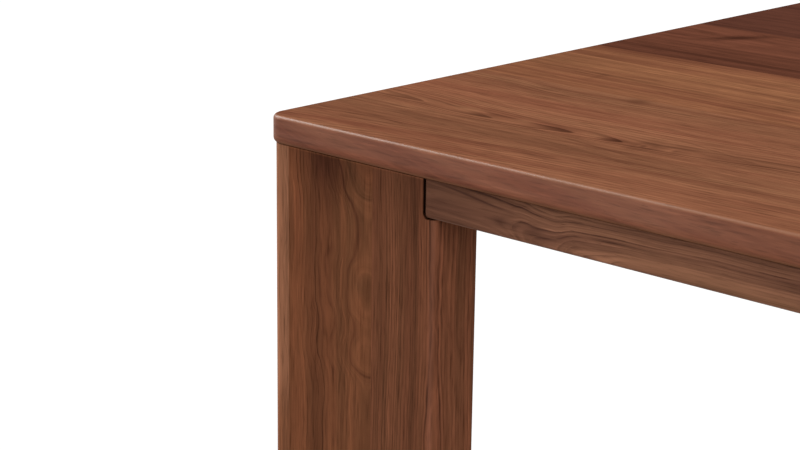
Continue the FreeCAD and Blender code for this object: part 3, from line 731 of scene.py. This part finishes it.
topFinish = {  # what the staves share
    "corner": (-endX, -sideY, topZ),
    "grain": (1, 0, 0),
    "width": (0, 1, 0),
    "edgeLine": 0.25,
    "edgeGrain": 0.8,
    "edgeCoat": 0.5,
    "rubTo": -0.0245,
    # painted shade on the side faces
    "edgeTint": (0.93, 0.82, 0.845, 1.0),
    "arrisPale": 0.45,
    "fleckDepth": 0.3,
}
for stave, values in topStaves.items():
    dress(stave, walnutBoard(stave, {**topFinish, **values}))
print("top staves dressed")


# the legs: along from the top down, across from the table's end, depth from the long side's face

legPocket = (0.1803, 0.0335, 0.028)  # from the table's end, from the leg's top, and into it
# painted shade under the top, longer on the inner board beside the rail, and painted light at the lip just
# beneath it
legPaintedShade = patch(0.0, 0.1, 0.022, 1.0, shade=0.28)
legInnerPaintedShade = patch(0.0, 0.1, 0.06, 1.0, shade=0.3)
legLipPaintedLight = patch(0.0, 0.1, 0.0010, 1.0, shade=-0.65)
legBoards = {
    "leg_front_left_outer_board": {  # flat-sawn, wavy figure beside the glue line
        "seed": 5.6,
        "pale": tint(142, 85, 57),
        "middle": tint(116, 76, 52),
        "dark": tint(70, 39, 28),
        "pithAcross": [(0.0, 0.120), (0.711, 0.118)],
        "pithDepth": [
            (0.0, 0.020), (0.024, 0.029), (0.0565, 0.0385), (0.079, 0.0376), (0.104, 0.0322),
            (0.129, 0.034), (0.144, 0.038), (0.169, 0.0353), (0.182, 0.0388), (0.192, 0.0422),
            (0.205, 0.0428), (0.31, 0.0428), (0.37, 0.042), (0.44, 0.033), (0.52, 0.040), (0.6, 0.034),
            (0.711, 0.038)],
        "drift": 3.0,
        "waveAlong": 15.0,
        "kink": 0.004,
        "heart": 0.0425,
        "bold": 0.040,
        "boldWidth": 0.0009,
        "boldDepth": 0.75,
        "lineDepth": 0.9,
        "grainDepth": 0.14,
        "fleckDepth": 0.34,
        "sap": tint(180, 124, 94),
        # a pale strip at the rounded outer corner, partly sapwood and partly a painted highlight
        "sapwood": (0.0265, 0.001, 0.55, 0.225),  # reach, border, strength and end
        "knots": [
            patch(0.35, 0.058, 2.0, 0.017, shade=0.25),
            patch(0.012, 0.078, 0.030, 0.022, shade=0.45),
            legPaintedShade, legLipPaintedLight,
            patch(0.35, 0.063, 2.0, 0.009, shade=0.12),
            patch(0.35, 0.116, 2.0, 0.014, shade=0.10),
            patch(0.17, 0.097, 0.09, 0.010, shade=-0.2),
            patch(0.07, 0.034, 0.05, 0.010, shade=0.2),
            patch(0.106, 0.111, 0.010, 0.007, shade=0.28),
            patch(0.10, 0.078, 0.12, 0.012, shade=0.14),
            patch(0.24, 0.037, 0.09, 0.009, shade=-0.25),
            patch(0.24, 0.0305, 0.12, 0.005, shade=-0.28),
            patch(0.125, 0.113, 0.065, 0.011, shade=-0.4),
            patch(0.13, 0.083, 0.07, 0.010, lift=0.005),
            patch(0.06, 0.065, 0.03, 0.010, lift=-0.004),
            patch(0.21, 0.062, 0.04, 0.012, lift=0.004),
        ],
    },
    "leg_front_left_inner_board": {  # rift-sawn, straight
        "seed": 8.4,
        "pale": tint(147, 88, 63),
        "middle": tint(120, 77, 54),
        "dark": tint(64, 38, 27),
        "pithAcross": [(0.0, 0.302), (0.11, 0.305), (0.25, 0.302), (0.45, 0.305), (0.711, 0.303)],
        "pithDepth": [(0.0, 0.05)],
        "ringWidth": 0.0028,
        "waver": 0.003,
        "bold": 0.1268,
        "boldWidth": 0.0006,
        "boldDepth": 1.0,
        "lineDepth": 0.9,
        "grainDepth": 0.2,
        "streakDepth": 0.13,
        "fleckDepth": 0.36,
        "knots": [
            patch(0.35, 0.130, 2.0, 0.012, shade=0.12),
            patch(0.35, 0.171, 2.0, 0.010, shade=0.38),
            legInnerPaintedShade, legLipPaintedLight,
        ],
    },
}
legSpare = {  # the other legs' outer boards
    "knots": [legPaintedShade, legLipPaintedLight],
    "pithAcross": [(0.0, 0.11), (0.25, 0.118), (0.711, 0.105)],
    "ringWidth": 0.0044,
    "waver": 0.010,
    "waveAlong": 9.0,
}
legStraight = {  # and their inner boards
    "knots": [legInnerPaintedShade, legLipPaintedLight],
    "fleckDepth": 0.3,
    "pithAcross": [(0.0, 0.31), (0.711, 0.30)],
    "pithDepth": [(0.0, 0.06)],
    "ringWidth": 0.0038,
    "waver": 0.008,
}
legFigures = {  # seeds of the outer and the inner board, and the outer board's pith depth
    "front_right": (41.3, 63.8, [
        (0.0, 0.033), (0.12, 0.040), (0.2, 0.034), (0.34, 0.043), (0.46, 0.036), (0.711, 0.045)]),
    "back_left": (47.4, 69.1, [
        (0.0, 0.046), (0.15, 0.038), (0.31, 0.044), (0.45, 0.033), (0.6, 0.041), (0.711, 0.036)]),
    "back_right": (53.5, 74.4, [
        (0.0, 0.036), (0.1, 0.032), (0.27, 0.042), (0.41, 0.037), (0.55, 0.046), (0.711, 0.039)]),
}
legTones = pick(legBoards["leg_front_left_outer_board"], "pale middle dark")
for corner, (outerSeed, innerSeed, figure) in legFigures.items():
    outer = {**legTones, **legSpare, "seed": outerSeed, "pithDepth": figure}
    inner = {**legTones, **legStraight, "seed": innerSeed}
    legBoards.update({f"leg_{corner}_outer_board": outer, f"leg_{corner}_inner_board": inner})

legFinish = {"grain": (0, 0, -1), "arrisPale": 0.15, "arrisCoat": 0.3}
for board, values in legBoards.items():
    side = -1 if "left" in board else 1
    face = -1 if "front" in board else 1
    place = {"corner": (endX * side, legFaceY * face, legTopZ), "width": (-side, 0, 0)}
    pocket = legPocket if "inner" in board else None
    dress(board, walnutBoard(board, {**legFinish, **place, "pocket": pocket, **values}))
print("leg boards dressed")


# the rails: along the rail, across from the table's upper face, depth from the outer face

# painted shade along the rails just under the top
railPaintedShade = patch(0.9, -0.025, 9.0, 0.009, shade=0.28)  # shade under the top
railTones = {
    "width": (0, 0, 1),
    "knots": [railPaintedShade],
    "pale": tint(152, 105, 79),
    "middle": tint(121, 79, 64),
    "dark": tint(60, 37, 32),
    "ringWidth": 0.003,
    "waver": 0.008,
    "waveAlong": 9.0,
    "drift": 1.5,
    "sharp": 1.6,
    "lineDepth": 1.0,
    "kink": 0.0018,
    "zoneDepth": 0.2,
    "grainDepth": 0.14,
}
rails = {
    "front_rail": {
        "corner": (-endX, -railFaceY, topZ), "grain": (1, 0, 0), "seed": 14.2,
        "pithAcross": [
            (0.18, -0.038), (0.25, -0.043), (0.28, -0.049), (0.305, -0.0555), (0.33, -0.0575),
            (0.5, -0.057), (0.9, -0.05), (1.3, -0.045), (1.62, -0.04)],
        "pithDepth": [
            (0.18, 0.0245), (0.22, 0.0250), (0.25, 0.0252), (0.266, 0.0245), (0.285, 0.0215),
            (0.305, 0.0195), (0.316, 0.0182), (0.3235, 0.0155), (0.334, 0.0125), (0.3515, 0.0108),
            (0.3655, 0.009), (0.383, 0.006), (0.4, 0.005), (0.425, 0.003), (0.5, 0.0015), (0.6, 0.004),
            (0.9, 0.012), (1.2, 0.005), (1.62, 0.014)],
        "knots": [
            patch(0.262, -0.045, 0.010, 0.004, shade=0.4),
            patch(0.295, -0.045, 0.009, 0.005, shade=0.3),
            patch(0.19, -0.044, 0.07, 0.02, shade=0.48),
            patch(0.43, -0.047, 0.06, 0.009, shade=-0.45),
            # paler along the lower edge towards the right, partly the wood's own paler zone and partly
            # painted light against the shade of the downward rounded edge
            patch(0.51, -0.056, 0.12, 0.008, shade=-1.1),
            patch(0.2375, -0.0315, 0.035, 0.0011, slope=-0.135, shade=0.45),
            railPaintedShade,
        ],
    },
    "back_rail": {
        "corner": (endX, railFaceY, topZ), "grain": (-1, 0, 0), "seed": 19.5,
        "pithAcross": [(0.18, -0.048), (0.7, -0.036), (1.2, -0.044), (1.62, -0.035)],
        "pithDepth": [(0.18, 0.022), (0.5, 0.031), (0.9, 0.020), (1.3, 0.033), (1.62, 0.026)],
    },
    "left_end_rail": {
        "corner": (-railFaceX, sideY, topZ), "grain": (0, -1, 0), "seed": 27.1,
        "pithAcross": [(0.05, -0.046), (0.5, -0.038), (0.95, -0.044)],
        "pithDepth": [(0.05, 0.019), (0.35, 0.028), (0.65, 0.022), (0.95, 0.032)],
    },
    "right_end_rail": {
        "corner": (railFaceX, -sideY, topZ), "grain": (0, 1, 0), "seed": 33.6,
        "pithAcross": [(0.05, -0.036), (0.5, -0.047), (0.95, -0.039)],
        "pithDepth": [(0.05, 0.030), (0.35, 0.021), (0.65, 0.029), (0.95, 0.020)],
    },
}
for rail, values in rails.items():
    dress(rail, walnutBoard(rail, {**railTones, **values}))
print("rails dressed")


# the cross battens, plainer stock under the top

battens = {  # middle and seed
    "batten_left": (-0.45, 71.4),
    "batten_middle": (0.0, 77.9),
    "batten_right": (0.45, 83.3),
}
battenShape = {"halfWidth": 0.035, "end": 0.4675, "underside": 0.701}
battenFinish = {
    "grain": (0, 1, 0),
    "width": (1, 0, 0),
    "pithAcross": [(0.0, 0.03), (0.4, 0.045), (0.935, 0.02)],
    "pithDepth": [(0.0, 0.03), (0.25, 0.04), (0.6, 0.033), (0.935, 0.045)],
    "pale": tint(134, 86, 63),
    "middle": tint(114, 71, 51),
    "dark": tint(70, 42, 31),
    "ringWidth": 0.003,
}
for batten, (middle, seed) in battens.items():
    corner = (middle - battenShape["halfWidth"], -battenShape["end"], battenShape["underside"])
    dress(batten, walnutBoard(batten, {**battenFinish, "corner": corner, "seed": seed}))
print("battens dressed")


# hardware finishes

speckleLook = {"smudges": (0.32, 0.68), "fineShare": 0.4, "smudgeShare": 0.6, "spread": (0.1, 0.9)}


def makeSpeckle():
    tree, given, result = newGroup(
        "surfaceSpeckle",
        {"colours": "low high", "values": "coarse fine roughLow roughHigh"},
        {"colours": "colour", "values": "roughness height"})
    look = speckleLook
    coords = tree.nodes.new("ShaderNodeTexCoord")
    found = []
    for scale, detail in ((given["coarse"], 3.0), (given["fine"], 2.0)):
        noise = tree.nodes.new("ShaderNodeTexNoise")
        tree.links.new(coords.outputs["Object"], noise.inputs["Vector"])
        feed(tree, noise.inputs["Scale"], scale)
        noise.inputs["Detail"].default_value = detail
        found.append(noise.outputs[0])
    smudge = remap(tree, found[0], *look["smudges"], smooth=True)
    tree.links.new(mixColour(tree, smudge, given["low"], given["high"]), result["colour"])
    mixed = timesPlus(tree, found[1], look["fineShare"], times(tree, smudge, look["smudgeShare"]))
    rough = remap(tree, mixed, *look["spread"], given["roughLow"], given["roughHigh"])
    tree.links.new(rough, result["roughness"])
    tree.links.new(found[1], result["height"])
    return tree


surfaceSpeckle = makeSpeckle()
hardware = {
    "bracketPaint": {
        "low": tint(30, 30, 31), "high": tint(40, 40, 42), "coarse": 40.0, "fine": 1500.0,
        "roughLow": 0.5, "roughHigh": 0.68, "metal": 0.0, "bump": 0.35, "lift": 0.0003,
        "nodes": ["leg_bracket_"]},
    "zincPlate": {
        "low": tint(176, 180, 184), "high": tint(206, 208, 210), "coarse": 160.0, "fine": 2400.0,
        "roughLow": 0.24, "roughHigh": 0.42, "metal": 1.0, "bump": 0.15, "lift": 0.0001,
        "nodes": ["top_bolts", "top_washers", "leg_bolts", "leg_washers", "rail_screws", "batten_screws"]},
    "insertBrass": {
        "low": tint(176, 140, 74), "high": tint(206, 172, 100), "coarse": 220.0, "fine": 2600.0,
        "roughLow": 0.26, "roughHigh": 0.44, "metal": 1.0, "bump": 0.15, "lift": 0.0001,
        "nodes": ["top_inserts", "leg_inserts", "foot_insert_"]},
    "beechDowel": {
        "low": tint(196, 158, 116), "high": tint(214, 180, 138), "coarse": 120.0, "fine": 1800.0,
        "roughLow": 0.5, "roughHigh": 0.65, "metal": 0.0, "bump": 0.2, "lift": 0.0002,
        "nodes": ["stave_dowels", "leg_dowels"]},
    "footNylon": {
        "low": tint(44, 34, 29), "high": tint(56, 45, 38), "coarse": 90.0, "fine": 2200.0,
        "roughLow": 0.42, "roughHigh": 0.58, "metal": 0.0, "bump": 0.25, "lift": 0.0002,
        "nodes": ["foot_pad_"]},
    "footFelt": {
        "low": tint(92, 78, 66), "high": tint(126, 110, 96), "coarse": 520.0, "fine": 3200.0,
        "roughLow": 0.85, "roughHigh": 1.0, "metal": 0.0, "bump": 0.9, "lift": 0.0006,
        "nodes": ["foot_sole_"]},
}


def hardwareFinish(name, values):
    material, tree = newMaterial(name)
    speckle = placeGroup(tree, surfaceSpeckle, **pick(values, "low high coarse fine roughLow roughHigh"))
    shader = wireFinish(tree, speckle, values["bump"], values["lift"])
    shader.inputs["Metallic"].default_value = values["metal"]
    return material


finishes = {name: hardwareFinish(name, values) for name, values in hardware.items()}
for name, values in hardware.items():
    for node in nodes:
        if node.startswith(tuple(values["nodes"])):
            dress(node, finishes[name])
print("hardware dressed")


# the levelling studs, with a real right-hand thread

studShape = {
    "sides": 24,
    "pinRadius": 0.00345,
    "pinLength": 0.004,
    "pinChamfer": 0.0004,
    "collarFlat": 0.0065,      # half across flats
    "collarRound": 0.0072,     # corners turned down to this
    "collarHeight": 0.005,
    "collarEdge": 0.0005,
    "threadCrest": 0.00395,
    "threadRoot": 0.00332,
    "pitch": 0.00125,
    "flank": 3.4,              # how steeply the thread rises
    "rowsPerTurn": 6,
    "length": 0.05,
    "point": 0.0012,
}


def studRows(shape):
    # each row gives a radius for every side, and one height
    count = shape["sides"]
    angles = [2 * math.pi * side / count for side in range(count)]
    root, rise = shape["threadRoot"], shape["threadCrest"] - shape["threadRoot"]
    pitch, perTurn = shape["pitch"], shape["rowsPerTurn"]

    def hexagon(limit):
        sixth = math.pi / 3
        leans = [(angle + sixth / 2) % sixth - sixth / 2 for angle in angles]
        return [min(limit, shape["collarFlat"] / math.cos(lean)) for lean in leans]

    def thread(height, deepest):
        found = []
        for angle in angles:
            turn = (height / pitch - angle / (2 * math.pi)) % 1.0
            crest = min(1.0, max(0.0, shape["flank"] * (0.5 - abs(turn - 0.5))))
            found.append(root + rise * crest * deepest)
        return found

    pin, chamfer, edge = shape["pinRadius"], shape["pinChamfer"], shape["collarEdge"]
    low = shape["pinLength"]
    high = low + shape["collarHeight"]
    flat, corners = hexagon(shape["collarFlat"]), hexagon(shape["collarRound"])
    rows = [([pin - chamfer] * count, 0.0), ([pin] * count, chamfer), ([pin] * count, low), (flat, low),
            (corners, low + edge), (corners, high - edge), (flat, high), ([root] * count, high)]
    steps = round((shape["length"] - shape["point"]) / pitch * perTurn)
    for step in range(1, steps + 1):
        height = step * pitch / perTurn
        runIn = min(1.0, step / perTurn)
        rows.append((thread(height, runIn), high + height))
    rows.append(([root - shape["point"]] * count, high + shape["length"]))
    return angles, rows


def makeStud(corner):
    low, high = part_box(f"foot_stud_{corner}")
    middle = (low + high) / 2
    angles, rows = studRows(studShape)
    mesh = bpy.data.meshes.new(f"threaded_stud_{corner}")
    build = bmesh.new()
    rings = []
    for radii, height in rows:
        spots = [(middle.x + radius * math.cos(angle), middle.y + radius * math.sin(angle), low.z + height)
                 for angle, radius in zip(angles, radii)]
        rings.append([build.verts.new(spot) for spot in spots])
    for below, above in zip(rings, rings[1:]):
        for side in range(len(angles)):
            after = (side + 1) % len(angles)
            build.faces.new((below[side], below[after], above[after], above[side]))
    build.faces.new(list(reversed(rings[0])))
    build.faces.new(rings[-1])
    build.normal_update()
    build.to_mesh(mesh)
    build.free()
    stud = bpy.data.objects.new(f"threaded_stud_{corner}", mesh)
    scene.collection.objects.link(stud)
    mesh.materials.append(finishes["zincPlate"])
    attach(stud, f"stud_{corner}")
    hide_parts(f"foot_stud_{corner}")


for corner in ("front_left", "front_right", "back_left", "back_right"):
    makeStud(corner)
print("threaded studs made")


# the pale floor: white to the camera, with the table's shadow

stage = {"size": 60.0, "grey": 0.38, "glow": 0.68, "clearance": 0.0003}  # just clear of the soles


def makeFloor():
    mesh = bpy.data.meshes.new("floor")
    reach = stage["size"] / 2
    corners = [(-reach, -reach), (reach, -reach), (reach, reach), (-reach, reach)]
    mesh.from_pydata([(x, y, -stage["clearance"]) for x, y in corners], [], [(0, 1, 2, 3)])
    floor = bpy.data.objects.new("floor", mesh)
    scene.collection.objects.link(floor)
    material, tree = newMaterial("paleFloor")
    tree.nodes.clear()
    out = tree.nodes.new("ShaderNodeOutputMaterial")
    matte = tree.nodes.new("ShaderNodeBsdfDiffuse")
    matte.inputs["Color"].default_value = (stage["grey"], stage["grey"], stage["grey"], 1.0)
    glow = tree.nodes.new("ShaderNodeEmission")
    tree.links.new(times(tree, seenDirectly(tree), stage["glow"]), glow.inputs["Strength"])
    both = tree.nodes.new("ShaderNodeAddShader")
    tree.links.new(matte.outputs[0], both.inputs[0])
    tree.links.new(glow.outputs[0], both.inputs[1])
    # seen from below, the floor is left clear
    clear = tree.nodes.new("ShaderNodeBsdfTransparent")
    under = tree.nodes.new("ShaderNodeMixShader")
    tree.links.new(tree.nodes.new("ShaderNodeNewGeometry").outputs["Backfacing"], under.inputs[0])
    tree.links.new(both.outputs[0], under.inputs[1])
    tree.links.new(clear.outputs[0], under.inputs[2])
    tree.links.new(under.outputs[0], out.inputs["Surface"])
    mesh.materials.append(material)


makeFloor()


# light: an even pale room, one wide soft key from the left and a low fill from the right

light = {
    "room": 0.5,
    "key": {"energy": 2.6, "comesFrom": (-0.83, -0.13, 0.54), "spread": 40.0},
    "fill": {"energy": 1.8, "comesFrom": (0.90, -0.36, 0.2), "spread": 60.0},
}


def makeLight():
    world = bpy.data.worlds.new("paleRoom")
    scene.world = world
    world.use_nodes = True
    tree = world.node_tree
    tree.nodes.clear()
    out = tree.nodes.new("ShaderNodeOutputWorld")
    room = tree.nodes.new("ShaderNodeBackground")
    room.inputs["Strength"].default_value = light["room"]
    white = tree.nodes.new("ShaderNodeBackground")
    for node in (room, white):
        node.inputs["Color"].default_value = (1, 1, 1, 1)
    both = tree.nodes.new("ShaderNodeMixShader")
    tree.links.new(seenDirectly(tree), both.inputs[0])
    tree.links.new(room.outputs[0], both.inputs[1])
    tree.links.new(white.outputs[0], both.inputs[2])
    tree.links.new(both.outputs[0], out.inputs["Surface"])
    for label in ("key", "fill"):
        lamp = bpy.data.lights.new(label, "SUN")
        lamp.energy = light[label]["energy"]
        lamp.angle = math.radians(light[label]["spread"])
        held = bpy.data.objects.new(label, lamp)
        held.rotation_mode = "QUATERNION"
        held.rotation_quaternion = Vector(light[label]["comesFrom"]).to_track_quat("Z", "Y")
        scene.collection.objects.link(held)


makeLight()
scene.view_settings.view_transform = "Standard"
print("floor and light set")


# the camera stands to the right of the front left corner, a little above the top

camera = {
    "place": (0.27759, -1.61382, 1.11073),
    "turn": 42.4579,
    "down": 15.8387,
    "roll": 0.7876,
    "lens": 87.012,
    "sensor": 36.0,
}


def makeCamera():
    turn, down, roll = (math.radians(camera[key]) for key in ("turn", "down", "roll"))
    ahead = Vector((-math.sin(turn) * math.cos(down), math.cos(turn) * math.cos(down), -math.sin(down)))
    level = Vector((math.cos(turn), math.sin(turn), 0))
    upright = level.cross(ahead)
    right = math.cos(roll) * level + math.sin(roll) * upright
    up = math.cos(roll) * upright - math.sin(roll) * level
    lens = bpy.data.cameras.new("camera")
    lens.sensor_fit = "HORIZONTAL"
    lens.sensor_width = camera["sensor"]
    lens.lens = camera["lens"]
    held = bpy.data.objects.new("camera", lens)
    facingOut = Matrix((right, up, -ahead)).transposed().to_4x4()
    held.matrix_world = Matrix.Translation(camera["place"]) @ facingOut
    scene.collection.objects.link(held)
    scene.camera = held


makeCamera()
print("camera set")
